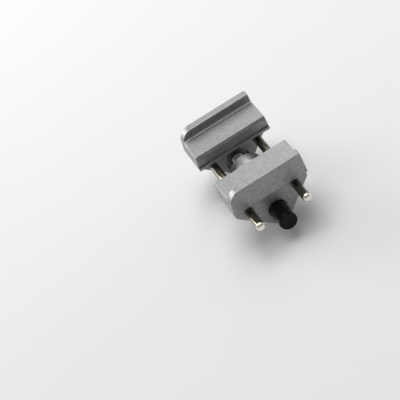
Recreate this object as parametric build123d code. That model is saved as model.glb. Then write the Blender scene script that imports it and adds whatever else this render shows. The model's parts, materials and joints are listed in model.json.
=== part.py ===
from build123d import *
import math
import os

# Side-clamping honing guide for chisels and plane irons.
# +X runs along the clamp screw from the fixed right jaw to the sliding left jaw,
# +Y runs along the blade towards its handle and +Z is square to the blade, upwards.
# The origin is the point where the middle of the roller meets the stone. All sizes are in mm.

# Roller and its carriage
ROLLER_R = 10.0
ROLLER_WIDTH = 12.5
ROLLER_GROOVE_DEPTH = 0.35
ROLLER_GROOVE_WIDTH = 1.0
BUSH_R = 6.0
SLEEVE_R = 4.5
SLEEVE_HALF = 8.1
SLEEVE_GROOVE_DEPTH = 0.5
SIDE_WASHER_R = 7.5
SIDE_WASHER_THICK = 0.5
SLEEVE_CLIP_R = 6.2
CLIP_THICK = 0.7
CLIP_MOUTH_SHARE = 0.8
FACE_GAP = 0.1
RUN_GAP = 0.05

# Clamp screw: M6 by 1 mm thread, plain shank in the fixed jaw
THREAD_R = 2.95
SHANK_R = 3.0
CLIP_GROOVE_R = 2.5
SCREW_END_X = 44.8
SCREW_HEAD_X = -43.6
SCREW_TIP_CHAMFER = 0.5
THREAD_RUNOUT = 0.6

# Jaw castings, given for the left jaw at positive X
FRONT_Y = -19.8
FRONT_LEAN_DEG = 9.5
REAR_Y = 20.0
REAR_LEAN_DEG = 1.8
SHELF_EDGE_X = 11.5
GRIP_X = 12.75
LIP_X = 13.4
WALL_IN_X = 30.7
WALL_OUT_X = 35.7
WEB_IN_X = 20.0
WEB_OUT_X = 32.8
BLOCK_BOTTOM_Z = 20.9
SHELF_Z = 22.0
GRIP_TOP_Z = 26.4
LEDGE_Z = 27.8
WALL_TOP_Z = 32.2
WALL_FRONT_R = 7.0
WALL_REAR_R = 1.2
LEDGE_FRONT_R = 0.5
LEDGE_CORNER_R = 1.2
EDGE_R = 0.5
BOSS_R = 7.9
WEB_HALF = 19.4
WEB_SIDE_Z = 17.2
WEB_CORNER_R = 1.6

# Guide rods
ROD_R = 2.2
ROD_Y = 12.5
ROD_Z = 17.0
ROD_TIP_X = 48.6
ROD_ROOT_X = -31.8
ROD_TIP_ROUND = 1.7
ROD_HOLE_R = ROD_R + 0.07

# Pieces round the screw in the fixed jaw
SCREW_BUSH_R = 4.5
SCREW_BUSH_FLANGE_R = 6.2
SCREW_BUSH_FLANGE = 1.0
CLIP_RECESS_R = 6.3
CLIP_RECESS_DEPTH = 2.3
CLIP_WASHER_R = 5.7
CLIP_WASHER_THICK = 0.6
SCREW_CLIP_R = 5.2

# Knob
KNOB_WASHER_R = 6.5
KNOB_WASHER_THICK = 0.9
KNOB_R = 8.5
KNOB_HUB_R = 5.6
KNOB_HUB_LENGTH = 2.8
KNOB_RIM_LENGTH = 8.2
KNOB_CHAMFER = 0.8
KNOB_SLOT_WIDTH = 1.8
KNOB_SLOT_DEPTH = 1.6
KNOB_PIN_R = 0.9
KNOB_PIN_INSET = 0.3

# Threaded insert and cap of the sliding jaw's side
INSERT_R = 4.8
INSERT_LENGTH = 5.5
CAP_R = 4.5
CAP_BORE_R = THREAD_R + 0.02
CAP_START_X = 32.7
CAP_END_X = 46.0
CAP_END_ROUND = 1.6
CAP_HOLE_R = 4.85

# How far cutters and joined blocks run past a face, and how near two heights count as one
OVERRUN = 1.0
SAME_PLACE = 0.1

ALONG_X = Plane.YZ
AXIS_Z = ROLLER_R


def cylinder_x(radius, start_x, end_x, y=0.0, z=AXIS_Z):
    """A cylinder along X between two stations."""
    middle = (start_x + end_x) / 2
    bar = Cylinder(radius, abs(end_x - start_x), rotation=(0, 90, 0))
    return Pos(middle, y, z) * bar


def ring_x(outer, inner, start_x, end_x, y=0.0, z=AXIS_Z):
    """A flat ring or tube along X."""
    hole = cylinder_x(inner, start_x - OVERRUN, end_x + OVERRUN, y, z)
    return cylinder_x(outer, start_x, end_x, y, z) - hole


def box_between(low, high):
    """A box given by its lowest and highest corners."""
    size = [b - a for a, b in zip(low, high)]
    centre = [(a + b) / 2 for a, b in zip(low, high)]
    return Pos(*centre) * Box(*size)


def front_y(z):
    """The castings' front end, which leans back towards the handle as it rises."""
    return FRONT_Y + (z - BLOCK_BOTTOM_Z) * math.tan(math.radians(FRONT_LEAN_DEG))


def rear_y(z):
    """The castings' rear end, which leans a little the same way."""
    return REAR_Y + (z - BLOCK_BOTTOM_Z) * math.tan(math.radians(REAR_LEAN_DEG))


def end_profile(start_x, end_x, top_z):
    """A prism along X between the two leaning ends."""
    with BuildPart() as prism:
        with BuildSketch(ALONG_X.offset(start_x)):
            with BuildLine():
                Polyline(
                    (FRONT_Y, BLOCK_BOTTOM_Z),
                    (front_y(top_z), top_z),
                    (rear_y(top_z), top_z),
                    (REAR_Y, BLOCK_BOTTOM_Z),
                    close=True,
                )
            make_face()
        extrude(amount=end_x - start_x)
    return prism.part


def wall_with_round_front():
    """The outer wall: a plate whose top front corner is a large round."""
    plate = end_profile(WALL_IN_X, WALL_OUT_X, WALL_TOP_Z)
    top_edges = plate.edges().filter_by(Axis.X).group_by(Axis.Z)[-1].sort_by(Axis.Y)
    plate = fillet(top_edges[0], WALL_FRONT_R)
    rear_edge = plate.edges().filter_by(Axis.X).group_by(Axis.Z)[-1].sort_by(Axis.Y)[-1]
    plate = fillet(rear_edge, WALL_REAR_R)
    outer_face = plate.faces().sort_by(Axis.X)[-1]
    plate = fillet(outer_face.edges(), EDGE_R)
    inner_face = plate.faces().sort_by(Axis.X)[0]
    above_ledge = inner_face.edges().filter_by(lambda e: e.center().Z > LEDGE_Z - OVERRUN)
    return fillet(above_ledge, EDGE_R)


def ledge_block():
    """The block that carries the plane-iron ledge, the grip face and the chisel shelf."""
    end_x = WALL_IN_X + EDGE_R + OVERRUN
    with BuildPart() as block:
        with BuildSketch(Plane.XZ.offset(2 * FRONT_Y)):
            with BuildLine():
                Polyline(
                    (SHELF_EDGE_X, BLOCK_BOTTOM_Z),
                    (SHELF_EDGE_X, SHELF_Z),
                    (GRIP_X, SHELF_Z),
                    (GRIP_X, GRIP_TOP_Z),
                    (LIP_X, LEDGE_Z),
                    (end_x, LEDGE_Z),
                    (end_x, BLOCK_BOTTOM_Z),
                    close=True,
                )
            make_face()
        extrude(amount=-4 * FRONT_Y)
    solid = block.part & end_profile(SHELF_EDGE_X, end_x, WALL_TOP_Z)
    ledge_ends = solid.edges().filter_by(Axis.X).group_by(Axis.Z)[-1].sort_by(Axis.Y)
    solid = fillet(ledge_ends[0], LEDGE_FRONT_R)
    rear_end = solid.edges().filter_by(Axis.X).group_by(Axis.Z)[-1].sort_by(Axis.Y)[-1]
    return fillet(rear_end, EDGE_R)


def ledge_corner_fillet():
    """The rounded inner corner between the ledge and the wall."""
    start_y = front_y(LEDGE_Z) + LEDGE_FRONT_R
    end_y = rear_y(LEDGE_Z) - EDGE_R
    corner = box_between(
        (WALL_IN_X - LEDGE_CORNER_R, start_y, LEDGE_Z - EDGE_R),
        (WALL_IN_X + EDGE_R, end_y, LEDGE_Z + LEDGE_CORNER_R),
    )
    hollow = Cylinder(LEDGE_CORNER_R, end_y - start_y + 2, rotation=(90, 0, 0))
    centre_y = (start_y + end_y) / 2
    hollow = Pos(WALL_IN_X - LEDGE_CORNER_R, centre_y, LEDGE_Z + LEDGE_CORNER_R) * hollow
    return corner - hollow


def web():
    """The lower web: it narrows in a V to a boss round the clamp screw."""
    distance = math.hypot(WEB_HALF, WEB_SIDE_Z - AXIS_Z)
    tangent = math.sqrt(distance**2 - BOSS_R**2)
    heading = math.atan2(AXIS_Z - WEB_SIDE_Z, WEB_HALF) - math.asin(BOSS_R / distance)
    touch_y = -WEB_HALF + tangent * math.cos(heading)
    touch_z = WEB_SIDE_Z + tangent * math.sin(heading)
    with BuildPart() as plate:
        with BuildSketch(ALONG_X.offset(WEB_IN_X)):
            with BuildLine():
                Polyline(
                    (touch_y, touch_z),
                    (-WEB_HALF, WEB_SIDE_Z),
                    (-WEB_HALF, BLOCK_BOTTOM_Z + OVERRUN),
                    (WEB_HALF, BLOCK_BOTTOM_Z + OVERRUN),
                    (WEB_HALF, WEB_SIDE_Z),
                    (-touch_y, touch_z),
                )
                ThreePointArc((touch_y, touch_z), (0, AXIS_Z - BOSS_R), (-touch_y, touch_z))
            make_face()
        extrude(amount=WEB_OUT_X - WEB_IN_X)
    solid = plate.part
    corners = solid.edges().filter_by(Axis.X).filter_by(
        lambda e: abs(e.center().Z - WEB_SIDE_Z) < SAME_PLACE
    )
    solid = fillet(corners, WEB_CORNER_R)
    outline = [
        edge
        for face in (solid.faces().sort_by(Axis.X)[0], solid.faces().sort_by(Axis.X)[-1])
        for edge in face.edges()
        if edge.center().Z < BLOCK_BOTTOM_Z
    ]
    return fillet(outline, EDGE_R)


def jaw_casting():
    """A left jaw without its bores."""
    return ledge_block() + wall_with_round_front() + ledge_corner_fillet() + web()


def left_jaw():
    """The sliding jaw: two rod holes, the insert's seat and the cap's clearance hole."""
    casting = jaw_casting()
    for y in (-ROD_Y, ROD_Y):
        casting -= cylinder_x(ROD_HOLE_R, WEB_IN_X - OVERRUN, WEB_OUT_X + OVERRUN, y, ROD_Z)
    casting -= cylinder_x(INSERT_R, WEB_IN_X - OVERRUN, WEB_IN_X + INSERT_LENGTH)
    casting -= cylinder_x(CAP_HOLE_R, WEB_IN_X + INSERT_LENGTH, WEB_OUT_X + OVERRUN)
    return casting


def right_jaw():
    """The fixed jaw: two blind rod sockets, the bush's seat and the retaining clip's recess."""
    casting = mirror(jaw_casting(), about=Plane.YZ)
    for y in (-ROD_Y, ROD_Y):
        casting -= cylinder_x(ROD_R, ROD_ROOT_X, -WEB_IN_X + OVERRUN, y, ROD_Z)
    casting -= cylinder_x(SCREW_BUSH_R, -WEB_OUT_X - OVERRUN, -WEB_IN_X + OVERRUN)
    casting -= cylinder_x(CLIP_RECESS_R, -WEB_IN_X - CLIP_RECESS_DEPTH, -WEB_IN_X + OVERRUN)
    return casting


def guide_rod(y):
    """A ground steel rod with a domed tip."""
    rod = cylinder_x(ROD_R, ROD_ROOT_X, ROD_TIP_X, y, ROD_Z)
    return fillet(rod.edges().sort_by(Axis.X)[-1], ROD_TIP_ROUND)


def screw_bush():
    """The flanged bush in which the screw's shank turns."""
    recess_x = -WEB_IN_X - CLIP_RECESS_DEPTH
    body = cylinder_x(SCREW_BUSH_R, -WEB_OUT_X, recess_x)
    flange = cylinder_x(SCREW_BUSH_FLANGE_R, -WEB_OUT_X - SCREW_BUSH_FLANGE, -WEB_OUT_X)
    bore = cylinder_x(SHANK_R + RUN_GAP, -WEB_OUT_X - SCREW_BUSH_FLANGE - OVERRUN, -WEB_IN_X)
    return body + flange - bore


def clip_washer():
    """The washer between the fixed jaw's bush and the retaining clip."""
    start_x = -WEB_IN_X - CLIP_RECESS_DEPTH + FACE_GAP
    return ring_x(CLIP_WASHER_R, SHANK_R + RUN_GAP, start_x, start_x + CLIP_WASHER_THICK)


SCREW_CLIP_X = -WEB_IN_X - CLIP_RECESS_DEPTH + 2 * FACE_GAP + CLIP_WASHER_THICK


def open_clip(outer, inner, start_x):
    """A spring clip: a flat ring with a mouth at the bottom."""
    ring = ring_x(outer, inner, start_x, start_x + CLIP_THICK)
    mouth = box_between(
        (start_x - OVERRUN, -inner * CLIP_MOUTH_SHARE, AXIS_Z - outer - OVERRUN),
        (start_x + CLIP_THICK + OVERRUN, inner * CLIP_MOUTH_SHARE, AXIS_Z),
    )
    return ring - mouth


def screw_clip():
    """The spring clip that holds the screw in the fixed jaw."""
    return open_clip(SCREW_CLIP_R, CLIP_GROOVE_R, SCREW_CLIP_X)


def clamp_screw():
    """The clamp screw, with a groove for its clip and a cross hole for the knob's pin."""
    shank_end_x = SCREW_CLIP_X + CLIP_THICK + THREAD_RUNOUT
    shank = cylinder_x(SHANK_R, SCREW_HEAD_X, shank_end_x)
    thread = cylinder_x(THREAD_R, shank_end_x, SCREW_END_X)
    thread = chamfer(thread.edges().sort_by(Axis.X)[-1], SCREW_TIP_CHAMFER)
    groove = ring_x(SHANK_R + OVERRUN, CLIP_GROOVE_R, SCREW_CLIP_X, SCREW_CLIP_X + CLIP_THICK)
    return shank + thread - groove - knob_pin()


KNOB_WASHER_X = -WEB_OUT_X - SCREW_BUSH_FLANGE - FACE_GAP - KNOB_WASHER_THICK
KNOB_RIM_X = KNOB_WASHER_X - KNOB_HUB_LENGTH
KNOB_END_X = KNOB_RIM_X - KNOB_RIM_LENGTH


def knob_washer():
    """The thrust washer under the knob."""
    return ring_x(
        KNOB_WASHER_R, SHANK_R + RUN_GAP, KNOB_WASHER_X, KNOB_WASHER_X + KNOB_WASHER_THICK
    )


def knob_pin():
    """The pin through the knob's hub and the screw."""
    pin = Cylinder(KNOB_PIN_R, 2 * (KNOB_HUB_R - KNOB_PIN_INSET))
    return Pos(KNOB_WASHER_X - KNOB_HUB_LENGTH / 2, 0, AXIS_Z) * pin


def clamp_knob():
    """The thumb knob, slotted across its face for a screwdriver."""
    hub = cylinder_x(KNOB_HUB_R, KNOB_RIM_X, KNOB_WASHER_X)
    rim = cylinder_x(KNOB_R, KNOB_END_X, KNOB_RIM_X)
    rim = chamfer(rim.edges().filter_by(GeomType.CIRCLE), KNOB_CHAMFER)
    bore = cylinder_x(SHANK_R, SCREW_HEAD_X, KNOB_WASHER_X + OVERRUN)
    slot = box_between(
        (KNOB_END_X - OVERRUN, -KNOB_R - OVERRUN, AXIS_Z - KNOB_SLOT_WIDTH / 2),
        (KNOB_END_X + KNOB_SLOT_DEPTH, KNOB_R + OVERRUN, AXIS_Z + KNOB_SLOT_WIDTH / 2),
    )
    pin_hole = Pos(KNOB_WASHER_X - KNOB_HUB_LENGTH / 2, 0, AXIS_Z) * Cylinder(KNOB_PIN_R, 2 * KNOB_R)
    hub -= pin_hole
    return hub + rim - bore - slot


def thread_insert():
    """The brass nut pressed into the sliding jaw."""
    return ring_x(INSERT_R, THREAD_R + RUN_GAP, WEB_IN_X, WEB_IN_X + INSERT_LENGTH)


def thread_cap():
    """The soft black cap on the end of the thread."""
    cap = cylinder_x(CAP_R, CAP_START_X, CAP_END_X)
    cap = fillet(cap.edges().sort_by(Axis.X)[-1], CAP_END_ROUND)
    return cap - cylinder_x(CAP_BORE_R, CAP_START_X - OVERRUN, SCREW_END_X)


def roller():
    """The roller, with a fine groove near each edge."""
    wheel = ring_x(ROLLER_R, BUSH_R, -ROLLER_WIDTH / 2, ROLLER_WIDTH / 2)
    rims = wheel.edges().filter_by(GeomType.CIRCLE).filter_by(lambda e: e.radius > BUSH_R + EDGE_R)
    wheel = chamfer(rims, EDGE_R)
    for side in (-1, 1):
        middle_x = side * (ROLLER_WIDTH / 2 - 2 * ROLLER_GROOVE_WIDTH)
        wheel -= ring_x(
            ROLLER_R + OVERRUN,
            ROLLER_R - ROLLER_GROOVE_DEPTH,
            middle_x - ROLLER_GROOVE_WIDTH / 2,
            middle_x + ROLLER_GROOVE_WIDTH / 2,
        )
    return wheel


def roller_bush():
    """The bronze bush pressed into the roller."""
    return ring_x(BUSH_R, SLEEVE_R + RUN_GAP, -ROLLER_WIDTH / 2, ROLLER_WIDTH / 2)


def side_washer(side):
    """A washer beside the roller; side is -1 at the right jaw and +1 at the left jaw."""
    near = ROLLER_WIDTH / 2 + FACE_GAP
    start_x, end_x = sorted((side * near, side * (near + SIDE_WASHER_THICK)))
    return ring_x(SIDE_WASHER_R, SLEEVE_R + RUN_GAP, start_x, end_x)


SLEEVE_CLIP_X = ROLLER_WIDTH / 2 + 2 * FACE_GAP + SIDE_WASHER_THICK
SLEEVE_GROOVE_R = SLEEVE_R - SLEEVE_GROOVE_DEPTH


def sleeve_clip(side):
    """The spring clip outside a side washer."""
    start_x = SLEEVE_CLIP_X if side > 0 else -SLEEVE_CLIP_X - CLIP_THICK
    return open_clip(SLEEVE_CLIP_R, SLEEVE_GROOVE_R, start_x)


def roller_sleeve():
    """The sleeve on which the roller turns; it slides along the screw."""
    sleeve = ring_x(SLEEVE_R, SHANK_R + RUN_GAP, -SLEEVE_HALF, SLEEVE_HALF)
    for start_x in (SLEEVE_CLIP_X, -SLEEVE_CLIP_X - CLIP_THICK):
        sleeve -= ring_x(SLEEVE_R + OVERRUN, SLEEVE_GROOVE_R, start_x, start_x + CLIP_THICK)
    return sleeve


PIECES = {
    "right_jaw": right_jaw(),
    "left_jaw": left_jaw(),
    "front_guide_rod": guide_rod(-ROD_Y),
    "rear_guide_rod": guide_rod(ROD_Y),
    "screw_bush": screw_bush(),
    "clamp_screw": clamp_screw(),
    "clip_washer": clip_washer(),
    "screw_clip": screw_clip(),
    "knob_washer": knob_washer(),
    "clamp_knob": clamp_knob(),
    "knob_pin": knob_pin(),
    "thread_insert": thread_insert(),
    "thread_cap": thread_cap(),
    "roller": roller(),
    "roller_bush": roller_bush(),
    "roller_sleeve": roller_sleeve(),
    "right_side_washer": side_washer(-1),
    "left_side_washer": side_washer(1),
    "right_sleeve_clip": sleeve_clip(-1),
    "left_sleeve_clip": sleeve_clip(1),
}

os.makedirs("parts", exist_ok=True)
for name, piece in PIECES.items():
    export_step(piece, f"parts/{name}.step")
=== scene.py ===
"""Side-clamping honing guide: finishes, detailed pieces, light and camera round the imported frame.

The frame's own axes and metres are kept throughout. X runs along the clamp screw from the
fixed right jaw to the sliding left jaw, Y along the blade towards its handle and Z square to
the blade. The origin is where the middle of the roller meets the stone.
"""

from __future__ import annotations

import json
import logging
import math
from collections.abc import Iterator, Sequence
from contextlib import contextmanager
from dataclasses import dataclass
from enum import Enum

import bmesh
import bpy
from mathutils import Euler, Matrix, Vector

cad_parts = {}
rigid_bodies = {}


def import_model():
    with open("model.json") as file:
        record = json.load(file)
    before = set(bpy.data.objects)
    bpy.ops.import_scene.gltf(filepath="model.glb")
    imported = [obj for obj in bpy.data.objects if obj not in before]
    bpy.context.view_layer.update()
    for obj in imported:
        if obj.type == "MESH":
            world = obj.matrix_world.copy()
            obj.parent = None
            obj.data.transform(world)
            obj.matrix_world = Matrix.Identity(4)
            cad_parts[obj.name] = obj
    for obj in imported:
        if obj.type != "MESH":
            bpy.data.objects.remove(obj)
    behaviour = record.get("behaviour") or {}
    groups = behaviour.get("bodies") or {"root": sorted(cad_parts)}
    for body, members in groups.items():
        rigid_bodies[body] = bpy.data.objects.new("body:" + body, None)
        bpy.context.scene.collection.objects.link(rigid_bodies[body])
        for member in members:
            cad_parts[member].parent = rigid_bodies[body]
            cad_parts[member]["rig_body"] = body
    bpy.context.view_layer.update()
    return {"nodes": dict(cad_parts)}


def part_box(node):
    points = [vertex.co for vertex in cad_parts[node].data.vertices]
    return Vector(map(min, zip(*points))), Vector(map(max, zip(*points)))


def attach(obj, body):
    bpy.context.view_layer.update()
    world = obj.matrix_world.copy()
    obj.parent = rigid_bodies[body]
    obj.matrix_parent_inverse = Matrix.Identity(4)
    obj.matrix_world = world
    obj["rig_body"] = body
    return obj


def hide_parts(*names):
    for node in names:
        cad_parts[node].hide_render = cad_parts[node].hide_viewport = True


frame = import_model()

MM = 0.001
FULL_TURN = 2 * math.pi
# Lengths under this count as nothing, and points nearer than a weld become one
TINY = 1e-7
WELD = 0.002 * MM
CUT_WELD = 0.004 * MM
CUT_OVERRUN = 1.0 * MM
# The most of an outline's run that a rounded corner may take up
LARGEST_TRIM = 0.49
FLAT_WEIGHT = 80
# The shares of hidden sky that count as an edge or a recess, from the first sign to a full one
OCCLUSION_SAMPLES = 8
EDGE_RANGE = (0.12, 0.6)
RECESS_RANGE = (0.2, 0.7)
Colour = tuple[float, float, float]
Material = bpy.types.Material
Mesh = bpy.types.Mesh
Piece = bpy.types.Object
LOG = logging.getLogger("honing_guide")


class Side(Enum):
    """The two jaws, as directions along X."""

    RIGHT = -1
    LEFT = 1


@dataclass(frozen=True)
class Grain:
    """A layer of noise: blotches in a millimetre, finer layers, their strength and the part kept.

    The share is how far it changes the colour, and the sheen how far it changes the roughness.
    """

    per_mm: float
    detail: float = 3.0
    rough: float = 0.6
    kept: tuple[float, float] | None = None
    share: float = 1.0
    sheen: float = 0.0


# Shader arithmetic


class Shade:
    """A socket of a node tree that takes part in Python arithmetic."""

    def __init__(self, tree: ShadeTree, socket: bpy.types.NodeSocket) -> None:
        """Wrap one output socket of a tree."""
        self.tree = tree
        self.socket = socket

    def _math(self, operation: str, *values: Shade | float) -> Shade:
        """One Math node's result, from its inputs in order."""
        return self.tree.add("ShaderNodeMath", {"operation": operation}, dict(enumerate(values)))

    def __add__(self, other: Shade | float) -> Shade:
        """Sum."""
        return self._math("ADD", self, other)

    def __sub__(self, other: Shade | float) -> Shade:
        """Difference."""
        return self._math("SUBTRACT", self, other)

    def __rsub__(self, other: Shade | float) -> Shade:
        """Difference with this value taken away."""
        return self._math("SUBTRACT", other, self)

    def __mul__(self, other: Shade | float) -> Shade:
        """Product."""
        return self._math("MULTIPLY", self, other)

    def __truediv__(self, other: Shade | float) -> Shade:
        """Quotient."""
        return self._math("DIVIDE", self, other)

    def __rtruediv__(self, other: Shade | float) -> Shade:
        """Quotient with this value below."""
        return self._math("DIVIDE", other, self)

    def __pow__(self, other: Shade | float) -> Shade:
        """Power."""
        return self._math("POWER", self, other)

    __radd__, __rmul__ = __add__, __mul__

    def between(self, low: float, high: float) -> Shade:
        """Map the range from low to high onto 0 to 1, eased and held at both ends."""
        return self.tree.add(
            "ShaderNodeMapRange",
            {"interpolation_type": "SMOOTHSTEP"},
            {0: self, 1: low, 2: high, 3: 0.0, 4: 1.0},
        )


class ShadeTree:
    """A node tree, with short ways to the nodes that the finishes and the sky use."""

    def __init__(self, owner: Material | bpy.types.World) -> None:
        """Empty the node tree of a material or world."""
        self.owner = owner
        owner.use_nodes = True
        self.nodes = owner.node_tree.nodes
        self.links = owner.node_tree.links
        self.nodes.clear()

    @classmethod
    def of_material(cls, name: str) -> ShadeTree:
        """The empty tree of a new material."""
        return cls(bpy.data.materials.new(name))

    def add(
        self,
        kind: str,
        settings: dict[str, object] | None = None,
        inputs: dict[int | str, object] | None = None,
        output: int | str = 0,
    ) -> Shade | None:
        """Add any node.

        Args:
            kind: The node's type.
            settings: Its own settings, which are set before its sockets.
            inputs: A value or a link for each named or numbered socket.
            output: The output socket to return.

        Returns:
            The chosen output, or nothing for a node that has none.
        """
        node = self.nodes.new(kind)
        for key, value in (settings or {}).items():
            setattr(node, key, value)
        for key, value in (inputs or {}).items():
            if isinstance(value, Shade):
                self.links.new(value.socket, node.inputs[key])
            else:
                node.inputs[key].default_value = value
        return Shade(self, node.outputs[output]) if node.outputs else None

    def place(self) -> Shade:
        """The surface point in millimetres, in the piece's own frame."""
        metres = self.add("ShaderNodeTexCoord", output="Object")
        return self.add(
            "ShaderNodeVectorMath", {"operation": "SCALE"}, {0: metres, "Scale": 1 / MM}
        )

    def split(self, vector: Shade) -> tuple[Shade, Shade, Shade]:
        """A vector's three parts."""
        whole = self.add("ShaderNodeSeparateXYZ", inputs={0: vector})
        outputs = whole.socket.node.outputs
        return Shade(self, outputs[0]), Shade(self, outputs[1]), Shade(self, outputs[2])

    def join(self, x: Shade | float, y: Shade | float, z: Shade | float) -> Shade:
        """A vector from its three parts."""
        return self.add("ShaderNodeCombineXYZ", inputs={0: x, 1: y, 2: z})

    def noise(self, at: Shade, grain: Grain) -> Shade:
        """A layer of noise from 0 to 1, at a place in millimetres."""
        value = self.add(
            "ShaderNodeTexNoise",
            {"noise_dimensions": "3D"},
            {"Vector": at, "Scale": grain.per_mm, "Detail": grain.detail, "Roughness": grain.rough},
        )
        return value.between(*grain.kept) if grain.kept else value

    def blend(self, amount: Shade | float, first: Colour | Shade, second: Colour | Shade) -> Shade:
        """A colour between two: 0 gives the first and 1 the second."""
        ends = [c if isinstance(c, Shade) else (*c, 1.0) for c in (first, second)]
        return self.add(
            "ShaderNodeMix", {"data_type": "RGBA"}, {0: amount, 6: ends[0], 7: ends[1]}, 2
        )

    def bump(self, height: Shade, depth_mm: float) -> Shade:
        """The normal of a fine relief, whose height runs from 0 to 1 times its depth."""
        return self.add(
            "ShaderNodeBump", None, {"Strength": 1.0, "Distance": depth_mm * MM, "Height": height}
        )

    def outer_edges(self, width_mm: float) -> Shade:
        """1 along the piece's outer edges and corners, 0 away from them."""
        inside = self.add(
            "ShaderNodeAmbientOcclusion",
            {"samples": OCCLUSION_SAMPLES, "inside": True, "only_local": True},
            {"Distance": width_mm * MM},
            "AO",
        )
        return (1 - inside).between(*EDGE_RANGE)

    def recesses(self, width_mm: float) -> Shade:
        """1 deep in corners and under neighbours, 0 on open surfaces."""
        open_sky = self.add(
            "ShaderNodeAmbientOcclusion",
            {"samples": OCCLUSION_SAMPLES},
            {"Distance": width_mm * MM},
            "AO",
        )
        return (1 - open_sky).between(*RECESS_RANGE)

    def surface(self, **sockets: object) -> Material:
        """Close the tree with a Principled shader, whose inputs have underscores for spaces."""
        inputs = {name.replace("_", " "): value for name, value in sockets.items()}
        shader = self.add("ShaderNodeBsdfPrincipled", None, inputs)
        self.add("ShaderNodeOutputMaterial", None, {"Surface": shader})
        return self.owner


# Finishes


@dataclass(frozen=True)
class CastPaint:
    """Satin silver-grey paint over a fine alloy casting, lighter along the edges: partly worn thin
    paint, partly a painted highlight.
    """

    name: str = "cast_paint"
    shadow: Colour = (0.235, 0.235, 0.236)
    light: Colour = (0.375, 0.375, 0.375)
    # partly painted highlight: the light colour that convex edges take, also used for the flecks
    bare_edge_and_highlight: Colour = (0.60, 0.60, 0.595)
    # painted shade: the near-black colour that corners and recesses darken to, partly soiling
    shade_and_grime: Colour = (0.06, 0.06, 0.062)
    roughness: float = 0.40
    metal: float = 0.7
    cloud: Grain = Grain(0.35, rough=0.55, share=0.25)
    mottle: Grain = Grain(1.3, rough=0.62, share=0.7)
    pores: Grain = Grain(4.6, detail=2.0, share=0.3, sheen=0.22)
    contrast: tuple[float, float] = (0.32, 0.68)
    sparkle: Grain = Grain(9.0, 1.0, 0.5, kept=(0.62, 0.74), share=0.35)
    wear_and_highlight: Grain = Grain(0.9, rough=0.7, kept=(0.25, 0.6), share=0.8, sheen=0.08)
    wear_and_highlight_width: float = 0.55
    # noise that breaks up the painted shade in recesses, so that it is partly dust
    dust: Grain = Grain(1.1, kept=(0.1, 0.6), share=0.8, sheen=0.15)
    shade_and_dust_width: float = 3.0
    pore_relief: float = 0.45
    relief_depth: float = 0.035

    def make(self) -> Material:
        """The material."""
        tree = ShadeTree.of_material(self.name)
        at = tree.place()
        cloud = tree.noise(at, self.cloud)
        mottle = tree.noise(at, self.mottle)
        pores = tree.noise(at, self.pores)
        sparkle = tree.noise(at, self.sparkle)
        mixed = mottle * self.mottle.share + pores * self.pores.share
        tone = (mixed + (cloud - 0.5) * self.cloud.share).between(*self.contrast)
        # painted highlight: convex edges are lightened, partly as worn paint and partly standing in
        # for edge highlights
        edges = tree.outer_edges(self.wear_and_highlight_width) * tree.noise(at, self.wear_and_highlight)
        # painted shade: corners and recesses darken towards the shade colour, broken by dust noise,
        # and grow rougher
        shade_and_dirt = tree.recesses(self.shade_and_dust_width) * tree.noise(at, self.dust)
        paint = tree.blend(tone, self.shadow, self.light)
        paint = tree.blend(sparkle * self.sparkle.share, paint, self.bare_edge_and_highlight)
        paint = tree.blend(edges * self.wear_and_highlight.share, paint, self.bare_edge_and_highlight)
        paint = tree.blend(shade_and_dirt * self.dust.share, paint, self.shade_and_grime)
        rough = self.roughness + (pores - 0.5) * self.pores.sheen
        relief = mottle * (1 - self.pore_relief) + pores * self.pore_relief
        return tree.surface(
            Base_Color=paint,
            Metallic=self.metal,
            Roughness=rough - edges * self.wear_and_highlight.sheen + shade_and_dirt * self.dust.sheen,
            Normal=tree.bump(relief, self.relief_depth),
        )


@dataclass(frozen=True)
class BareMetal:
    """Metal turned about the screw's axis: fine rings, rubbing from handling, and painted shade in its
    corners, where it is also rougher.
    """

    name: str
    base: Colour
    tint: Colour
    dark: Colour
    roughness: float
    # how far the painted shade reaches into corners, and how dark it gets
    recess_width: float = 1.0
    recess_share: float = 0.55
    axis_z: float = 10.0
    core: float = 0.5
    marks_per_mm: float = 9.0
    marks_depth: float = 0.004
    lines: Grain = Grain(1.0, share=0.55, sheen=0.16)
    handling: Grain = Grain(0.45, 4.0, kept=(0.3, 0.75), share=0.3, sheen=0.08)
    specks: Grain = Grain(3.2, rough=0.7, kept=(0.55, 0.75), share=0.18)
    dirt_sheen: float = 0.2
    edge_width: float = 0.3
    edge_sheen: float = 0.06

    def make(self) -> Material:
        """The material."""
        tree = ShadeTree.of_material(self.name)
        at = tree.place()
        x, y, z = tree.split(at)
        above = z - self.axis_z
        out = (y * y + above * above) ** 0.5
        turned = tree.join(x * self.marks_per_mm, out * self.marks_per_mm, y / (out + self.core))
        lines = tree.noise(turned, self.lines)
        handling = tree.noise(at, self.handling)
        edges = tree.outer_edges(self.edge_width)
        # painted shade: corners and recesses darken towards the dark colour and are made rougher
        shade_and_dirt = tree.recesses(self.recess_width)
        tinted = lines * self.lines.share + handling * self.handling.share
        colour = tree.blend(tinted, self.base, self.tint)
        colour = tree.blend(tree.noise(at, self.specks) * self.specks.share, colour, self.dark)
        colour = tree.blend(shade_and_dirt * self.recess_share, colour, self.dark)
        rough = self.roughness + (lines - 0.5) * self.lines.sheen + handling * self.handling.sheen
        return tree.surface(
            Base_Color=colour,
            Metallic=1.0,
            Roughness=rough + shade_and_dirt * self.dirt_sheen - edges * self.edge_sheen,
            Normal=tree.bump(lines, self.marks_depth),
        )


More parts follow.
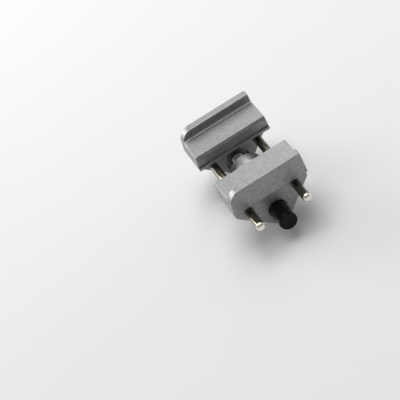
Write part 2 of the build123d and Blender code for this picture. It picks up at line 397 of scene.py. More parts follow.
METALS = (
    BareMetal("zinc_plate", (0.62, 0.63, 0.63), (0.46, 0.48, 0.50), (0.12, 0.12, 0.12), 0.33),
    BareMetal("hardened_roller_steel", (0.50,) * 3, (0.36,) * 3, (0.10,) * 3, 0.3),
    BareMetal("knurled_nickel", (0.66, 0.65, 0.62), (0.50, 0.49, 0.46), (0.09, 0.085, 0.08), 0.3),
    BareMetal("sintered_bronze", (0.52, 0.33, 0.15), (0.38, 0.23, 0.10), (0.10, 0.06, 0.03), 0.42),
    # painted shade: the brass insert darkens fully to near black over four millimetres into its hole
    BareMetal(
        "turned_brass", (0.80, 0.60, 0.27), (0.62, 0.44, 0.17), (0.02, 0.014, 0.008), 0.3,
        recess_width=4.0, recess_share=1.0,
    ),
    BareMetal(
        "blued_spring_steel", (0.16, 0.155, 0.15), (0.08, 0.08, 0.085), (0.02, 0.02, 0.02), 0.36
    ),
)


@dataclass(frozen=True)
class RodWithPaintedReflections:
    """A steel rod with painted reflections: a dark shaft with worn fine lines along it and a pale
    domed tip.
    """

    name: str = "browned_rod_steel"
    # painted reflection: the dark shaft and pale tip colours stand in for the dark and bright
    # surroundings that the steel reflects
    shaft: Colour = (0.20, 0.185, 0.145)
    worn: Colour = (0.36, 0.33, 0.26)
    tip: Colour = (0.86, 0.82, 0.72)
    dark: Colour = (0.03, 0.027, 0.02)
    tip_from: float = 46.75
    tip_to: float = 47.0
    roughness: float = 0.2
    ground_along: float = 0.1
    ground_across: float = 5.0
    rings_along: float = 6.0
    rings_across: float = 0.2
    ground: Grain = Grain(1.0, share=0.45, sheen=0.12)
    rings: Grain = Grain(1.0, detail=2.0)
    handling: Grain = Grain(0.5, 4.0, 0.62, kept=(0.4, 0.75), share=0.35, sheen=0.08)
    specks: Grain = Grain(3.0, rough=0.7, kept=(0.56, 0.74), share=0.3)
    # how far the painted shade reaches into recesses, and how dark it gets
    recess_width: float = 0.8
    recess_share: float = 0.25
    tip_sheen: float = 0.08
    ring_relief: float = 0.3
    relief_depth: float = 0.003

    def make(self) -> Material:
        """The material."""
        tree = ShadeTree.of_material(self.name)
        at = tree.place()
        x, y, z = tree.split(at)
        drawn = tree.join(x * self.ground_along, y * self.ground_across, z * self.ground_across)
        turned = tree.join(x * self.rings_along, y * self.rings_across, z * self.rings_across)
        ground = tree.noise(drawn, self.ground)
        rings = tree.noise(turned, self.rings)
        handled = tree.noise(at, self.handling)
        specks = tree.noise(at, self.specks)
        shade_and_dirt = tree.recesses(self.recess_width)
        # painted reflection: the domed tip is blended to the pale tip colour
        bright = x.between(self.tip_from, self.tip_to)
        worn = ground * self.ground.share + handled * self.handling.share
        colour = tree.blend(worn, self.shaft, self.worn)
        # painted shade in recesses, mixed with real stain specks
        stains_and_shade = specks * self.specks.share + shade_and_dirt * self.recess_share
        colour = tree.blend(stains_and_shade, colour, self.dark)
        colour = tree.blend(bright, colour, self.tip)
        rough = self.roughness + (ground - 0.5) * self.ground.sheen
        relief = ground * (1 - self.ring_relief) + rings * self.ring_relief
        return tree.surface(
            Base_Color=colour,
            Metallic=1.0,
            Roughness=rough + handled * self.handling.sheen + bright * self.tip_sheen,
            Normal=tree.bump(relief, self.relief_depth),
        )


@dataclass(frozen=True)
class SoftVinyl:
    """Dipped black vinyl: glossy, faintly uneven, dusty in its hollows."""

    name: str = "soft_vinyl"
    black: Colour = (0.006, 0.0058, 0.0055)
    dust: Colour = (0.035, 0.034, 0.032)
    roughness: float = 0.22
    specular: float = 0.12
    flow_along: float = 0.25
    smear_along: float = 0.4
    flow: Grain = Grain(0.8, rough=0.5)
    skin: Grain = Grain(2.4, sheen=0.06)
    smears: Grain = Grain(1.4, 4.0, 0.65, kept=(0.45, 0.8), share=0.35, sheen=0.16)
    recess_width: float = 1.2
    recess_share: float = 0.3
    skin_relief: float = 0.3
    relief_depth: float = 0.05

    def make(self) -> Material:
        """The material."""
        tree = ShadeTree.of_material(self.name)
        at = tree.place()
        x, y, z = tree.split(at)
        flow = tree.noise(tree.join(x * self.flow_along, y, z), self.flow)
        skin = tree.noise(at, self.skin)
        smears = tree.noise(tree.join(x * self.smear_along, y, z), self.smears)
        dusty = smears * self.smears.share + tree.recesses(self.recess_width) * self.recess_share
        rough = self.roughness + smears * self.smears.sheen + (skin - 0.5) * self.skin.sheen
        relief = flow * (1 - self.skin_relief) + skin * self.skin_relief
        return tree.surface(
            Base_Color=tree.blend(dusty, self.black, self.dust),
            Roughness=rough,
            Normal=tree.bump(relief, self.relief_depth),
            Specular_IOR_Level=self.specular,
        )


@dataclass(frozen=True)
class PaleFloor:
    """The plain pale floor, with a faint drift from warm to cool."""

    name: str = "pale_floor"
    colour: Colour = (0.80, 0.80, 0.795)
    cooler: Colour = (0.775, 0.78, 0.785)
    drift: Grain = Grain(0.004, 2.0, 0.5)
    roughness: float = 0.9

    def make(self) -> Material:
        """The material."""
        tree = ShadeTree.of_material(self.name)
        shade = tree.blend(tree.noise(tree.place(), self.drift), self.colour, self.cooler)
        return tree.surface(Base_Color=shade, Roughness=self.roughness)


# Meshes


@dataclass(frozen=True)
class Corner:
    """One corner of a turned outline: a station along the axis, a radius and its rounding."""

    along: float
    out: float
    round: float = 0.0


def rounded_outline(corners: Sequence[Corner], ring: bool, steps: int = 5) -> list[Vector]:
    """Turn corners into points, with an arc in place of each rounded corner.

    Args:
        corners: The outline in order.
        ring: True if the last corner runs on to the first.
        steps: Segments in each arc.

    Returns:
        Points whose x is the station and whose y is the radius.
    """
    points = []
    count = len(corners)
    for index, corner in enumerate(corners):
        here = Vector((corner.along, corner.out))
        is_end = not ring and index in (0, count - 1)
        if corner.round == 0 or is_end:
            points.append(here)
            continue
        before, after = corners[index - 1], corners[(index + 1) % count]
        back = Vector((before.along, before.out)) - here
        ahead = Vector((after.along, after.out)) - here
        half = back.angle(ahead) / 2
        room = LARGEST_TRIM * min(back.length, ahead.length)
        trim = min(corner.round / math.tan(half), room)
        back.normalize()
        ahead.normalize()
        centre = here + (back + ahead).normalized() * (trim / math.cos(half))
        start = here + back * trim - centre
        end = here + ahead * trim - centre
        sweep = start.angle_signed(end)
        for step in range(steps + 1):
            turn = Matrix.Rotation(-sweep * step / steps, 2)
            points.append(centre + turn @ start)
    return points


@dataclass(frozen=True)
class Spindle:
    """Where a round piece lies: its X stations, its radius and its axis, read from its node."""

    start: float
    end: float
    radius: float
    y: float
    z: float

    @classmethod
    def of(cls, node: str) -> Spindle:
        """A round node's place and size in the frame."""
        low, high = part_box(node)
        radius = (high.y - low.y) / 2
        return cls(low.x, high.x, radius, (low.y + high.y) / 2, high.z - radius)

    @property
    def length(self) -> float:
        """The length along X."""
        return self.end - self.start

    def point(self, along: float, out: float, angle: float) -> Vector:
        """The point at a station, a radius and an angle round the axis."""
        return Vector((along, self.y + out * math.cos(angle), self.z + out * math.sin(angle)))


@contextmanager
def edited(mesh: Mesh) -> Iterator[bmesh.types.BMesh]:
    """Open a mesh for editing, and write it back at the end."""
    work = bmesh.new()
    work.from_mesh(mesh)
    yield work
    work.to_mesh(mesh)
    work.free()


def weld(work: bmesh.types.BMesh, reach: float) -> None:
    """Join points nearer than the reach, and take out slivers under half of it."""
    bmesh.ops.remove_doubles(work, verts=work.verts, dist=reach)
    bmesh.ops.dissolve_degenerate(work, edges=work.edges, dist=reach / 2)


def smooth(mesh: Mesh) -> None:
    """Shade every face smooth."""
    for polygon in mesh.polygons:
        polygon.use_smooth = True


def new_mesh(name: str, vertices: Sequence[Vector], faces: Sequence[Sequence[int]]) -> Mesh:
    """A welded, smooth shaded mesh with outward normals."""
    mesh = bpy.data.meshes.new(name)
    mesh.from_pydata([tuple(v) for v in vertices], [], [tuple(f) for f in faces])
    with edited(mesh) as work:
        weld(work, WELD)
        bmesh.ops.recalc_face_normals(work, faces=work.faces)
    smooth(mesh)
    return mesh


def lathe(
    name: str, spindle: Spindle, corners: Sequence[Corner], ring: bool, segments: int = 128
) -> Mesh:
    """Spin an outline about a spindle's axis.

    Args:
        name: The mesh's name.
        spindle: The axis.
        corners: The outline, from axis to axis unless it is a ring.
        ring: True for a tube or washer, whose outline is a closed loop.
        segments: Facets round the axis.

    Returns:
        The spun mesh.
    """
    outline = rounded_outline(corners, ring)
    vertices = []
    rows = []
    for point in outline:
        if point.y < TINY:
            rows.append([len(vertices)] * segments)
            vertices.append(spindle.point(point.x, 0.0, 0.0))
            continue
        rows.append(list(range(len(vertices), len(vertices) + segments)))
        vertices += [
            spindle.point(point.x, point.y, FULL_TURN * s / segments) for s in range(segments)
        ]
    pairs = list(zip(rows, rows[1:]))
    if ring:
        pairs.append((rows[-1], rows[0]))
    faces = []
    for first, second in pairs:
        for s in range(segments):
            t = (s + 1) % segments
            face = dict.fromkeys((first[s], first[t], second[t], second[s]))
            if len(face) > 2:
                faces.append(list(face))
    return new_mesh(name, vertices, faces)


def eased(edge: float, *places: tuple[float, float]) -> list[Corner]:
    """Corners at pairs of a station and a radius, all with one rounding."""
    return [Corner(along, out, edge) for along, out in places]


def tube_corners(bar: Spindle, inner: float, edge: float) -> list[Corner]:
    """A tube's or washer's outline, with every corner eased."""
    start, end, outer = bar.start, bar.end, bar.radius
    return eased(edge, (start, inner), (start, outer), (end, outer), (end, inner))


def bore_corners(bar: Spindle, bore: float, lead: float, edge: float) -> list[Corner]:
    """The part of a ring's outline that runs back along a bore with a lead-in at each end."""
    start, end, mouth = bar.start, bar.end, bore + lead
    return eased(edge, (end, mouth), (end - lead, bore), (start + lead, bore), (start, mouth))


def groove_corners(clip: Spindle, outer: float, inner: float, edge: float) -> list[Corner]:
    """The part of an outline that dips from an outer to an inner radius under a clip."""
    start, end = clip.start, clip.end
    return eased(edge, (start, outer), (start, inner), (end, inner), (end, outer))


def steady_normals(piece: Piece) -> None:
    """Weight a piece's normals by face area, so that flats stay flat beside small rounds."""
    modifier = piece.modifiers.new("steady_normals", "WEIGHTED_NORMAL")
    modifier.mode = "FACE_AREA"
    modifier.weight = FLAT_WEIGHT
    modifier.keep_sharp = True


def add_piece(
    name: str,
    mesh: Mesh,
    finish: Material,
    nodes: Sequence[str],
) -> Piece:
    """Put a detailed piece in the place of its CAD nodes.

    Args:
        name: The piece's name.
        mesh: Its mesh, in the frame's metres.
        finish: Its material.
        nodes: The CAD nodes that it stands for, all on one body.

    Returns:
        The new object.
    """
    piece = bpy.data.objects.new(name, mesh)
    bpy.context.scene.collection.objects.link(piece)
    piece.data.materials.clear()
    piece.data.materials.append(finish)
    steady_normals(piece)
    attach(piece, frame["nodes"][nodes[0]]["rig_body"])
    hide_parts(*nodes)
    return piece


def add_turned(
    name: str,
    node: str,
    corners: Sequence[Corner],
    finish: Material,
    ring: bool = True,
    segments: int = 128,
) -> Piece:
    """Spin an outline about a node's axis and put the piece in the node's place."""
    mesh = lathe(name, Spindle.of(node), corners, ring, segments)
    return add_piece(name, mesh, finish, [node])


def dress_node(node: str, finish: Material) -> Piece:
    """Give a CAD node its finish and keep its shape."""
    piece = frame["nodes"][node]
    for material_slot in piece.material_slots:
        material_slot.material = finish
    return piece


def carve(piece: Piece, cutters: Sequence[Mesh]) -> None:
    """Cut closed meshes out of a piece and keep the result as plain mesh."""
    for number, cutter_mesh in enumerate(cutters):
        cutter = bpy.data.objects.new(f"cutter_{number}", cutter_mesh)
        bpy.context.scene.collection.objects.link(cutter)
        cut = piece.modifiers.new("cut", "BOOLEAN")
        cut.operation = "DIFFERENCE"
        cut.solver = "EXACT"
        cut.object = cutter
        depsgraph = bpy.context.evaluated_depsgraph_get()
        result = bpy.data.meshes.new_from_object(piece.evaluated_get(depsgraph))
        with edited(result) as work:
            weld(work, CUT_WELD)
        piece.modifiers.remove(cut)
        piece.data = result
        bpy.data.objects.remove(cutter)


# Sub-assemblies


@dataclass
class JawPair:
    """The two alloy castings, whose CAD shape is kept."""

    paint: Material

    def build(self) -> list[Piece]:
        """Dress both castings."""
        return [dress_node(node, self.paint) for node in ("right_jaw", "left_jaw")]


@dataclass
class GuideRods:
    """The two steel rods, pressed into the fixed jaw, with domed tips; their dark shafts and pale tips
    are painted reflections.
    """

    steel: Material
    tip_round: float = 1.7 * MM
    tip_steps: int = 14
    tip_dish: float = 0.12 * MM
    root_chamfer: float = 0.3 * MM
    ease: float = 0.08 * MM
    segments: int = 96

    def rod(self, name: str, node: str) -> Piece:
        """One rod in the place of its CAD node."""
        bar = Spindle.of(node)
        flat = bar.radius - self.tip_round
        corners = [
            Corner(bar.start, 0.0),
            Corner(bar.start, bar.radius - self.root_chamfer, self.ease),
            Corner(bar.start + self.root_chamfer, bar.radius, self.ease),
            Corner(bar.end - self.tip_round, bar.radius),
        ]
        for step in range(1, self.tip_steps + 1):
            angle = math.pi / 2 * step / self.tip_steps
            along = bar.end - self.tip_round * (1 - math.sin(angle))
            corners.append(Corner(along, flat + self.tip_round * math.cos(angle)))
        corners.append(Corner(bar.end - self.tip_dish, 0.0))
        return add_turned(name, node, corners, self.steel, False, self.segments)

    def build(self) -> list[Piece]:
        """Both rods."""
        return [self.rod(f"{end}_ground_rod", f"{end}_guide_rod") for end in ("front", "rear")]


@dataclass
class ClampScrew:
    """The clamp screw: plain shank, clip groove and a true helical thread."""

    steel: Material
    pitch: float = 1.0 * MM
    depth: float = 0.6 * MM
    crest_share: float = 0.12
    flank_share: float = 0.72
    root_share: float = 0.3
    shank_round: float = 0.3 * MM
    groove_radius: float = 2.5 * MM
    thread_radius: float = 2.95 * MM
    chamfer: float = 0.6 * MM
    land: float = 0.6 * MM
    overlap: float = 0.2 * MM
    ease: float = 0.06 * MM
    segments: int = 64
    rows_per_pitch: int = 8
    ends: int = 2

    def thread_radius_at(self, phase: float) -> float:
        """The thread's radius at a phase of its pitch, with a flat crest and a round root."""
        height = abs(2 * (phase % 1.0) - 1)
        flank = min(max((height - self.crest_share) / self.flank_share, 0.0), 1.0)
        curved = flank * flank * (3 - 2 * flank)
        return self.thread_radius - self.depth * (flank + (curved - flank) * self.root_share)

    def thread(self, bar: Spindle, start: float) -> Mesh:
        """The closed thread, a sheared grid that follows the helix from a start station."""
        rows = math.ceil((bar.end - start) / self.pitch * self.rows_per_pitch)
        rows += 2 * self.rows_per_pitch
        vertices = []
        for row in range(rows + 1):
            for s in range(self.segments):
                turn = s / self.segments
                along = start + (row / self.rows_per_pitch - 1 + turn) * self.pitch
                out = self.thread_radius_at(row / self.rows_per_pitch)
                fade = min(max((along - start) / self.pitch, 0.0), 1.0)
                out = self.thread_radius + (out - self.thread_radius) * fade
                along = min(max(along, start), bar.end)
                out = min(out, self.thread_radius - self.chamfer + (bar.end - along))
                vertices.append(bar.point(along, out, FULL_TURN * turn))
        faces = []
        for row in range(rows):
            for s in range(self.segments):
                here = row * self.segments + s
                if s + 1 < self.segments:
                    faces.append((here, here + 1, here + self.segments + 1, here + self.segments))
                    continue
                wrapped = (row + self.rows_per_pitch) * self.segments
                if row + self.rows_per_pitch < rows:
                    faces.append((here, wrapped, wrapped + self.segments, here + self.segments))
        return self.closed(vertices, faces)

    def closed(self, vertices: list[Vector], faces: list[tuple[int, ...]]) -> Mesh:
        """Weld the helical sheet and cap its two ends."""
        mesh = new_mesh("helical_thread", vertices, faces)
        with edited(mesh) as work:
            for _ in range(self.ends):
                rims = [edge for edge in work.edges if edge.is_boundary]
                if rims:
                    bmesh.ops.holes_fill(work, edges=rims, sides=0)
            bmesh.ops.recalc_face_normals(work, faces=work.faces)
        return mesh

    def build(self) -> list[Piece]:
        """The screw as one piece: shank, groove and thread."""
        bar = Spindle.of("clamp_screw")
        clip = Spindle.of("screw_clip")
        shank_end = clip.end + self.land
        corners = [
            Corner(bar.start, 0.0),
            Corner(bar.start, bar.radius - self.shank_round),
            Corner(bar.start + self.shank_round, bar.radius, self.ease),
            *groove_corners(clip, bar.radius, self.groove_radius, self.ease),
            Corner(shank_end, bar.radius, self.ease),
            Corner(shank_end, self.thread_radius - self.depth),
            Corner(shank_end + self.pitch, 0.0),
        ]
        shank = lathe("screw_shank", bar, corners, ring=False)
        with edited(shank) as work:
            work.from_mesh(self.thread(bar, shank_end - self.overlap))
        return [add_piece("threaded_clamp_screw", shank, self.steel, ["clamp_screw"])]


@dataclass
class ScrewFittings:
    """Bush, washers and spring clip that hold the screw in the fixed jaw."""

    bronze: Material
    zinc: Material
    spring: Material
    bush_bore: float = 3.05 * MM
    bush_body: float = 4.5 * MM
    flange: float = 1.0 * MM
    lead: float = 0.35 * MM
    clip_grip: float = 2.5 * MM
    edge: float = 0.12 * MM

    def bush(self) -> Piece:
        """The flanged bush, with a lead-in at each end of its bore."""
        bar = Spindle.of("screw_bush")
        collar = bar.start + self.flange
        corners = [
            Corner(bar.start, bar.radius, 2 * self.edge),
            Corner(collar, bar.radius, self.edge),
            Corner(collar, self.bush_body),
            Corner(bar.end, self.bush_body, self.edge),
            *bore_corners(bar, self.bush_bore, self.lead, self.edge),
        ]
        return add_turned("flanged_screw_bush", "screw_bush", corners, self.bronze)

    def washer(self, name: str, node: str) -> Piece:
        """One flat washer in the place of its CAD node."""
        corners = tube_corners(Spindle.of(node), self.bush_bore, self.edge)
        return add_turned(name, node, corners, self.zinc)

    def build(self) -> list[Piece]:
        """Every fitting round the screw."""
        clip = SpringClip("screw_spring_clip", "screw_clip", self.clip_grip)
        return [
            self.bush(),
            self.washer("retaining_washer", "clip_washer"),
            self.washer("knob_thrust_washer", "knob_washer"),
            clip.build(self.spring),
        ]


@dataclass(frozen=True)
class SpringClip:
    """A stamped spring clip: three lands grip the groove and the mouth opens downwards."""

    name: str
    node: str
    grip: float
    mouth_share: float = 0.8
    relief: float = 0.55 * MM
    edge: float = 0.07 * MM
    bevel_over: float = math.radians(50)
    steps: int = 120

    def inner_radius(self, angle: float) -> float:
        """The inner radius at an angle from the mouth's middle: three lands, scallops between."""
        wave = 0.5 - 0.5 * math.cos(2 * (angle - math.pi))
        return self.grip + self.relief * wave * wave

    def build(self, spring: Material) -> Piece:
        """The clip in its groove."""
        bar = Spindle.of(self.node)
        half_mouth = self.grip * self.mouth_share
        outer_gap = math.asin(half_mouth / bar.radius)
        inner_gap = math.asin(self.mouth_share)
        shares = [step / self.steps for step in range(self.steps + 1)]
        outline = [(bar.radius, outer_gap + (FULL_TURN - 2 * outer_gap) * at) for at in shares]
        inward = [inner_gap + (FULL_TURN - 2 * inner_gap) * at for at in reversed(shares)]
        outline += [(self.inner_radius(angle), angle) for angle in inward]
        count = len(outline)
        vertices = [
            bar.point(along, out, angle - math.pi / 2)
            for along in (bar.start, bar.end)
            for out, angle in outline
        ]
        faces = [(i, (i + 1) % count, count + (i + 1) % count, count + i) for i in range(count)]
        last = self.steps * 2 + 1
        for step in range(self.steps):
            faces.append((step, step + 1, last - step - 1, last - step))
            faces.append(tuple(count + i for i in (step, step + 1, last - step - 1, last - step)))
        mesh = new_mesh(self.name, vertices, faces)
        with edited(mesh) as work:
            rims = [edge for edge in work.edges if edge.calc_face_angle(0.0) > self.bevel_over]
            bmesh.ops.bevel(work, geom=rims, offset=self.edge, segments=2, affect="EDGES", profile=0.5)
        smooth(mesh)
        return add_piece(self.name, mesh, spring, [self.node])


@dataclass
class ThumbKnob:
    """The knurled knob with its screwdriver slot, and the pin through its hub."""

    steel: Material
    spring: Material
    diamonds: int = 56
    facets_per_diamond: int = 6
    knurl_depth: float = 0.3 * MM
    diamond_top: float = 0.3
    fade_share: float = 0.25
    chamfer: float = 0.8 * MM
    slot_width: float = 1.8 * MM
    slot_depth: float = 1.6 * MM
    slot_lead: float = 0.2 * MM
    bore: float = 3.0 * MM
    hub_radius: float = 5.6 * MM
    hub_length: float = 2.8 * MM
    face_inset: float = 1.92 * MM
    edge: float = 0.15 * MM
    pin_edge: float = 0.2 * MM
    pin_segments: int = 48
    crease: float = math.radians(32)

    def knurl(self, along_cells: float, round_cells: float) -> float:
        """The knurl's depth at a place in diamonds, from 0 on a top to 1 in a groove."""
        rising = abs(2 * ((along_cells + round_cells) % 1.0) - 1)
        falling = abs(2 * ((along_cells - round_cells) % 1.0) - 1)
        past_top = max(rising, falling) - self.diamond_top
        return min(max(past_top / (1 - self.diamond_top), 0.0), 1.0)

    def knob_mesh(self, bar: Spindle) -> Mesh:
        """The knurled knob before its slot and pin hole are cut."""
        segments = self.diamonds * self.facets_per_diamond
        rim_start = bar.end - self.hub_length
        blind_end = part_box("clamp_screw")[0].x
        body = [
            Corner(blind_end, 0.0),
            Corner(blind_end, self.bore),
            Corner(bar.end, self.bore + self.edge),
            Corner(bar.end, self.hub_radius, self.edge),
            Corner(rim_start, self.hub_radius, self.edge),
            Corner(rim_start, bar.radius - self.chamfer, self.edge),
            Corner(rim_start - self.chamfer, bar.radius),
        ]
        outline = rounded_outline(body, ring=False)
        knurl_start, knurl_end = rim_start - self.chamfer, bar.start + self.chamfer
        cell = FULL_TURN * bar.radius / self.diamonds
        rows = round((knurl_start - knurl_end) / cell * self.facets_per_diamond)
        stations = [knurl_start + (knurl_end - knurl_start) * r / rows for r in range(1, rows)]
        outline += [Vector((along, bar.radius)) for along in stations]
        front = [
            Corner(knurl_end, bar.radius),
            Corner(bar.start, bar.radius - self.chamfer, self.edge),
            Corner(bar.start, bar.radius - self.face_inset),
            Corner(bar.start, 0.0),
        ]
        outline += rounded_outline(front, ring=False)
        vertices = []
        for point in outline:
            on_rim = abs(point.y - bar.radius) < TINY
            room = min(knurl_start - point.x, point.x - knurl_end) if on_rim else 0.0
            fade = min(max(room / (self.fade_share * cell), 0.0), 1.0)
            for s in range(segments):
                turn = s / segments
                depth = self.knurl((point.x - knurl_start) / cell, turn * self.diamonds)
                out = point.y - self.knurl_depth * depth * fade
                vertices.append(bar.point(point.x, max(out, 0.0), FULL_TURN * turn))
        faces = []
        for row in range(0, (len(outline) - 1) * segments, segments):
            for s in range(segments):
                t = (s + 1) % segments
                faces.append((row + s, row + t, row + segments + t, row + segments + s))
        return new_mesh("knurled_thumb_knob", vertices, faces)

    def slot_cutter(self, bar: Spindle) -> Mesh:
        """The slot's cutter, with flared edges so that the slot's rims are eased."""
        half, lead = self.slot_width / 2, self.slot_lead
        upper = [
            (bar.start - CUT_OVERRUN, half + lead + CUT_OVERRUN),
            (bar.start + lead, half),
            (bar.start + self.slot_depth, half),
        ]
        section = upper + [(along, -up) for along, up in reversed(upper)]
        reach = bar.radius + 2 * CUT_OVERRUN
        vertices = [
            Vector((along, bar.y + side.value * reach, bar.z + up))
            for side in Side
            for along, up in section
        ]
        count = len(section)
        faces = [tuple(range(count)), tuple(range(2 * count - 1, count - 1, -1))]
        faces += [(i, (i + 1) % count, count + (i + 1) % count, count + i) for i in range(count)]
        return new_mesh("slot_cutter", vertices, faces)

    def upright_pin(self, name: str, pin_x: float, half: float, radius: float) -> Mesh:
        """A round pin along Z through the knob's axis, given by its station, half and radius."""
        centre_z = Spindle.of("clamp_knob").z
        lying = Spindle(-half, half, radius, 0.0, 0.0)
        corners = tube_corners(lying, 0.0, self.pin_edge)
        mesh = lathe(name, lying, corners, False, self.pin_segments)
        mesh.transform(Matrix.Rotation(math.pi / 2, 4, "Y"))
        mesh.transform(Matrix.Translation((pin_x, 0.0, centre_z)))
        return mesh

    def build(self) -> list[Piece]:
        """The knob and its pin."""
        bar = Spindle.of("clamp_knob")
        low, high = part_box("knob_pin")
        pin_x, pin_radius = (low.x + high.x) / 2, (high.x - low.x) / 2
        knob = add_piece(
            "knurled_thumb_knob", self.knob_mesh(bar), self.steel, ["clamp_knob"]
        )
        hole = self.upright_pin("pin_hole", pin_x, bar.radius, pin_radius)
        carve(knob, [self.slot_cutter(bar), hole])
        knob.data.set_sharp_from_angle(angle=self.crease)
        pin_mesh = self.upright_pin("knob_cross_pin", pin_x, (high.z - low.z) / 2, pin_radius)
        pin = add_piece("knob_cross_pin", pin_mesh, self.spring, ["knob_pin"])
        return [knob, pin]


@dataclass
class EndCap:
    """The soft cap on the screw's end: eased mouth, round shoulder and a dished face."""

    vinyl: Material
    bore: float = 2.97 * MM
    mouth_round: float = 0.35 * MM
    shoulder: float = 1.6 * MM
    dish: float = 0.32 * MM
    dish_radius: float = 2.5 * MM
    dish_slope: float = 0.8 * MM
    dish_ease: float = 0.6 * MM
    bore_ease: float = 0.2 * MM

    def build(self) -> list[Piece]:
        """The cap."""
        bar = Spindle.of("thread_cap")
        screw_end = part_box("clamp_screw")[1].x
        corners = [
            Corner(screw_end, 0.0),
            Corner(screw_end, self.bore),
            Corner(bar.start, self.bore, self.bore_ease),
            Corner(bar.start, bar.radius, self.mouth_round),
            Corner(bar.end, bar.radius, self.shoulder),
            Corner(bar.end, self.dish_radius, self.dish_ease),
            Corner(bar.end - self.dish, self.dish_radius - self.dish_slope, self.dish_ease),
            Corner(bar.end - self.dish, 0.0),
        ]
        cap = add_turned("soft_end_cap", "thread_cap", corners, self.vinyl, False)
        return [cap]


@dataclass
class ThreadInsert:
    """The brass nut pressed into the sliding jaw."""

    brass: Material
    bore: float = 3.0 * MM
    lead: float = 0.4 * MM
    edge: float = 0.12 * MM

    def build(self) -> list[Piece]:
        """The insert, countersunk at both ends."""
        bar = Spindle.of("thread_insert")
        corners = [
            Corner(bar.start, bar.radius, self.edge),
            Corner(bar.end, bar.radius, self.edge),
            *bore_corners(bar, self.bore, self.lead, self.edge),
        ]
        return [add_turned("brass_thread_insert", "thread_insert", corners, self.brass)]


@dataclass
class RollerGroup:
    """The roller with its bush, and the carriage that it turns on."""

    hardened: Material
    bronze: Material
    zinc: Material
    spring: Material
    groove_depth: float = 0.35 * MM
    groove_width: float = 1.0 * MM
    groove_inset: float = 2.0 * MM
    chamfer: float = 0.5 * MM
    bush_radius: float = 6.0 * MM
    bush_bore: float = 4.55 * MM
    sleeve_bore: float = 3.05 * MM
    clip_groove: float = 4.0 * MM
    face_recess: float = 0.3 * MM
    inner_land: float = 0.8 * MM
    outer_land: float = 1.3 * MM
    wheel_segments: int = 192
    edge: float = 0.1 * MM

    def wheel(self) -> Piece:
        """The roller: two fine grooves, chamfered rims and a shallow recess in each face."""
        bar = Spindle.of("roller")
        half = bar.length / 2
        middle = (bar.start + bar.end) / 2
        recess_low, recess_high = self.bush_radius + self.inner_land, bar.radius - self.outer_land
        bottom = bar.radius - self.groove_depth
        corners = []
        for side in (-1, 1):
            face = middle + side * half
            floor = face - side * self.face_recess
            inner = face - side * self.chamfer
            groove = middle + side * (half - self.groove_inset)
            near, far = groove + side * self.groove_width / 2, groove - side * self.groove_width / 2
            run = eased(
                self.edge,
                (face, recess_low),
                (floor, recess_low + self.face_recess),
                (floor, recess_high - self.face_recess),
                (face, recess_high),
                (face, bar.radius - self.chamfer),
                (inner, bar.radius),
                (near, bar.radius),
                (near, bottom),
                (far, bottom),
                (far, bar.radius),
            )
            run.insert(0, Corner(face, self.bush_radius))
            corners += run if side < 0 else run[::-1]
        return add_turned(
            "grooved_roller", "roller", corners, self.hardened,
            segments=self.wheel_segments,
        )

    def bearing(self) -> Piece:
        """The bronze bush inside the roller."""
        corners = tube_corners(Spindle.of("roller_bush"), self.bush_bore, 2 * self.edge)
        return add_turned("roller_bearing_bush", "roller_bush", corners, self.bronze)

    def sleeve(self) -> Piece:
        """The sleeve, with a groove for the clip at each end."""
        bar = Spindle.of("roller_sleeve")
        corners = [
            Corner(bar.start, self.sleeve_bore, self.edge),
            Corner(bar.start, bar.radius, 2 * self.edge),
        ]
        for side in Side:
            clip = Spindle.of(f"{side.name.lower()}_sleeve_clip")
            corners += groove_corners(clip, bar.radius, self.clip_groove, self.edge / 2)
        corners += [
            Corner(bar.end, bar.radius, 2 * self.edge),
            Corner(bar.end, self.sleeve_bore, self.edge),
        ]
        return add_turned("carriage_sleeve", "roller_sleeve", corners, self.zinc)

    def side_pieces(self, side: Side) -> list[Piece]:
        """The washer and the clip at one side of the roller."""
        word = side.name.lower()
        node = f"{word}_side_washer"
        corners = tube_corners(Spindle.of(node), self.bush_bore, self.edge)
        washer = add_turned(f"{word}_thrust_washer", node, corners, self.zinc)
        clip = SpringClip(f"{word}_spring_clip", f"{word}_sleeve_clip", self.clip_groove)
        return [washer, clip.build(self.spring)]

    def build(self) -> list[Piece]:
        """Every piece round the roller."""
        pieces = [self.wheel(), self.bearing(), self.sleeve()]
        for side in Side:
            pieces += self.side_pieces(side)
        return pieces


# Studio


@dataclass(frozen=True)
class SoftBox:
    """One square lamp, aimed at the guide."""

    name: str
    place: tuple[float, float, float]
    size: float
    watts: float

    def hang(self, aim: Vector) -> None:
        """Put the lamp in its place, facing a point."""
        light = bpy.data.lights.new(self.name, "AREA")
        light.shape = "SQUARE"
        light.size = self.size
        light.energy = self.watts
        lamp = bpy.data.objects.new(self.name, light)
        lamp.location = self.place
        lamp.rotation_euler = (Vector(self.place) - aim).to_track_quat("Z", "Y").to_euler()
        bpy.context.scene.collection.objects.link(lamp)


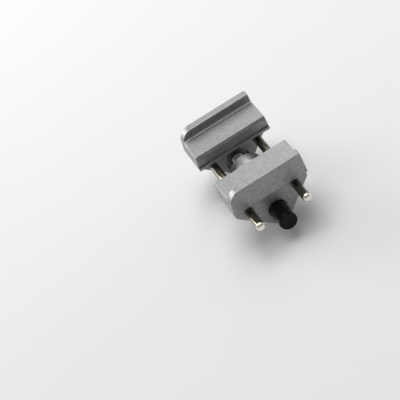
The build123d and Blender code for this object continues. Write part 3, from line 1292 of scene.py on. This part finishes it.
@dataclass
class Studio:
    """The floor, the light and the camera."""

    floor_size: float = 12.0
    azimuth: float = 86.39
    elevation: float = 34.25
    roll: float = -29.94
    distance: float = 0.85
    aim: tuple[float, float, float] = (-0.0206, -0.0262, 0.0009)
    lens: float = 155.67
    sky_behind: Colour = (0.50, 0.503, 0.51)
    sky_in_front: Colour = (0.27, 0.27, 0.273)
    sky_turn: tuple[float, float] = (-0.75, 0.55)
    lamp_aim: tuple[float, float, float] = (0.0, 0.0, 0.02)
    near_clip: float = 0.01

    def lay_floor(self) -> None:
        """A wide pale floor under the roller."""
        half = self.floor_size / 2
        mesh = bpy.data.meshes.new("floor")
        mesh.from_pydata(
            [(-half, -half, 0.0), (half, -half, 0.0), (half, half, 0.0), (-half, half, 0.0)],
            [],
            [(0, 1, 2, 3)],
        )
        floor = bpy.data.objects.new("floor", mesh)
        floor.data.materials.append(PaleFloor().make())
        bpy.context.scene.collection.objects.link(floor)

    def light(self) -> None:
        """Soft boxes behind and above, and a sky that is bright behind and dim in front."""
        lamps = [
            SoftBox("rear_box", (-0.98, 0.45, 0.78), size=0.7, watts=2.2),
            SoftBox("low_side_box", (-1.00, -0.60, 0.41), size=0.60, watts=5.6),
            SoftBox("overhead_box", (-0.42, 0.10, 1.45), size=1.2, watts=14.0),
            SoftBox("handle_side_box", (-0.20, 1.20, 0.26), size=0.25, watts=0.9),
        ]
        for lamp in lamps:
            lamp.hang(Vector(self.lamp_aim))
        world = bpy.data.worlds.new("studio_world")
        tree = ShadeTree(world)
        towards_x = tree.split(tree.add("ShaderNodeTexCoord", output="Generated"))[0]
        in_front = towards_x.between(*self.sky_turn)
        sky = tree.blend(in_front, self.sky_behind, self.sky_in_front)
        glow = tree.add("ShaderNodeBackground", None, {"Color": sky, "Strength": 1.0})
        tree.add("ShaderNodeOutputWorld", None, {"Surface": glow})
        bpy.context.scene.world = world

    def set_camera(self) -> None:
        """The camera at its viewing angle."""
        azimuth, elevation = math.radians(self.azimuth), math.radians(self.elevation)
        flat = math.cos(elevation)
        back = Vector((math.sin(azimuth) * flat, -math.cos(azimuth) * flat, math.sin(elevation)))
        lens = bpy.data.cameras.new("camera")
        lens.lens = self.lens
        lens.clip_start = self.near_clip
        camera = bpy.data.objects.new("camera", lens)
        camera.location = Vector(self.aim) + back * self.distance
        upright = (-back).to_track_quat("-Z", "Y")
        camera.rotation_mode = "QUATERNION"
        camera.rotation_quaternion = upright @ Euler((0, 0, math.radians(self.roll))).to_quaternion()
        bpy.context.scene.collection.objects.link(camera)
        bpy.context.scene.camera = camera

    def build(self) -> None:
        """Floor, light and camera."""
        self.lay_floor()
        self.light()
        self.set_camera()
        bpy.context.scene.view_settings.view_transform = "Standard"


def main() -> None:
    """Build the guide's sub-assemblies and the studio, and report each piece."""
    logging.basicConfig(level=logging.INFO, format="%(name)s: %(message)s")
    zinc, hardened, knurled, bronze, brass, spring = (metal.make() for metal in METALS)
    groups = [
        JawPair(CastPaint().make()),
        GuideRods(RodWithPaintedReflections().make()),
        ClampScrew(zinc),
        ScrewFittings(bronze, zinc, spring),
        ThumbKnob(knurled, spring),
        EndCap(SoftVinyl().make()),
        ThreadInsert(brass),
        RollerGroup(hardened, bronze, zinc, spring),
    ]
    for group in groups:
        for piece in group.build():
            LOG.info("%s: %d faces", piece.name, len(piece.data.polygons))
    Studio().build()


if __name__ == "__main__":
    main()
